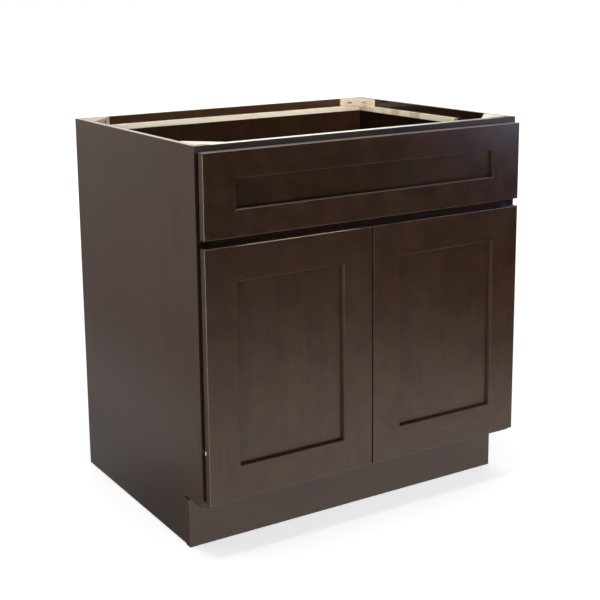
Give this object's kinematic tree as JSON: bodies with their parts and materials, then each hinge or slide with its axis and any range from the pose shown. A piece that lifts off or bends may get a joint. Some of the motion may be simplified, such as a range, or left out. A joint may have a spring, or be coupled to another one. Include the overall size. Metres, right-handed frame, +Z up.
{
  "type": "kitchen base cabinet",
  "caption": "Framed sink-base kitchen cabinet in dark stained wood: flat-panel doors on concealed hinges, a fixed false front, a recessed toe board and an open top with corner blocks.",
  "frame": {"origin": "on the floor, under the middle of the whole object's bounding box", "axes": "+X to the right as seen from the front, +Y from the doors towards the wall, +Z up"},
  "size_m": [0.8382, 0.6318, 0.8763],
  "materials": {
    "stained_wood": "dark espresso stain under satin lacquer",
    "stained_plywood": "dark stained plywood veneer, satin, raw on the top edges",
    "natural_wood": "unfinished pale wood, sawn and sanded",
    "hinge_nickel": "nickel-plated pressed steel",
    "screw_steel": "zinc-plated steel",
    "bumper_clear": "cloudy soft plastic"
  },
  "bodies": {
    "case": {"back_cleat": "natural_wood", "back_left_corner_block": "natural_wood", "back_panel": "stained_plywood", "back_right_corner_block": "natural_wood", "corner_block_screws": "screw_steel", "false_front_bottom_rail": "stained_wood", "false_front_bracket_screws": "screw_steel", "false_front_brackets": "hinge_nickel", "false_front_bumpers": "bumper_clear", "false_front_left_stile": "stained_wood", "false_front_panel": "stained_wood", "false_front_right_stile": "stained_wood", "false_front_top_rail": "stained_wood", "floor_panel": "stained_plywood", "frame_bottom_rail": "stained_wood", "frame_mid_rail": "stained_wood", "frame_top_rail": "stained_wood", "front_left_corner_block": "natural_wood", "front_right_corner_block": "natural_wood", "hinge_arm_screws": "screw_steel", "left_cleat": "natural_wood", "left_frame_stile": "stained_wood", "left_lower_hinge_arm": "hinge_nickel", "left_side_panel": "stained_plywood", "left_upper_hinge_arm": "hinge_nickel", "right_cleat": "natural_wood", "right_frame_stile": "stained_wood", "right_lower_hinge_arm": "hinge_nickel", "right_side_panel": "stained_plywood", "right_upper_hinge_arm": "hinge_nickel", "toe_kick_board": "stained_plywood"},
    "left_door": {"left_door_bottom_rail": "stained_wood", "left_door_bumpers": "bumper_clear", "left_door_hinge_stile": "stained_wood", "left_door_meeting_stile": "stained_wood", "left_door_panel": "stained_wood", "left_door_top_rail": "stained_wood", "left_hinge_cup_screws": "screw_steel", "left_hinge_pins": "hinge_nickel", "left_lower_hinge_cup": "hinge_nickel", "left_upper_hinge_cup": "hinge_nickel"},
    "right_door": {"right_door_bottom_rail": "stained_wood", "right_door_bumpers": "bumper_clear", "right_door_hinge_stile": "stained_wood", "right_door_meeting_stile": "stained_wood", "right_door_panel": "stained_wood", "right_door_top_rail": "stained_wood", "right_hinge_cup_screws": "screw_steel", "right_hinge_pins": "hinge_nickel", "right_lower_hinge_cup": "hinge_nickel", "right_upper_hinge_cup": "hinge_nickel"}
  },
  "joints": [
    {"name": "left_door_hinge", "type": "hinge", "parent": "case", "child": "left_door", "pos_m": [-0.40474, -0.30488, 0.3982], "axis": [0, 0, -1], "range_deg": [0, 105]},
    {"name": "right_door_hinge", "type": "hinge", "parent": "case", "child": "right_door", "pos_m": [0.40474, -0.30488, 0.3982], "axis": [0, 0, 1], "range_deg": [0, 105]}
  ]
}
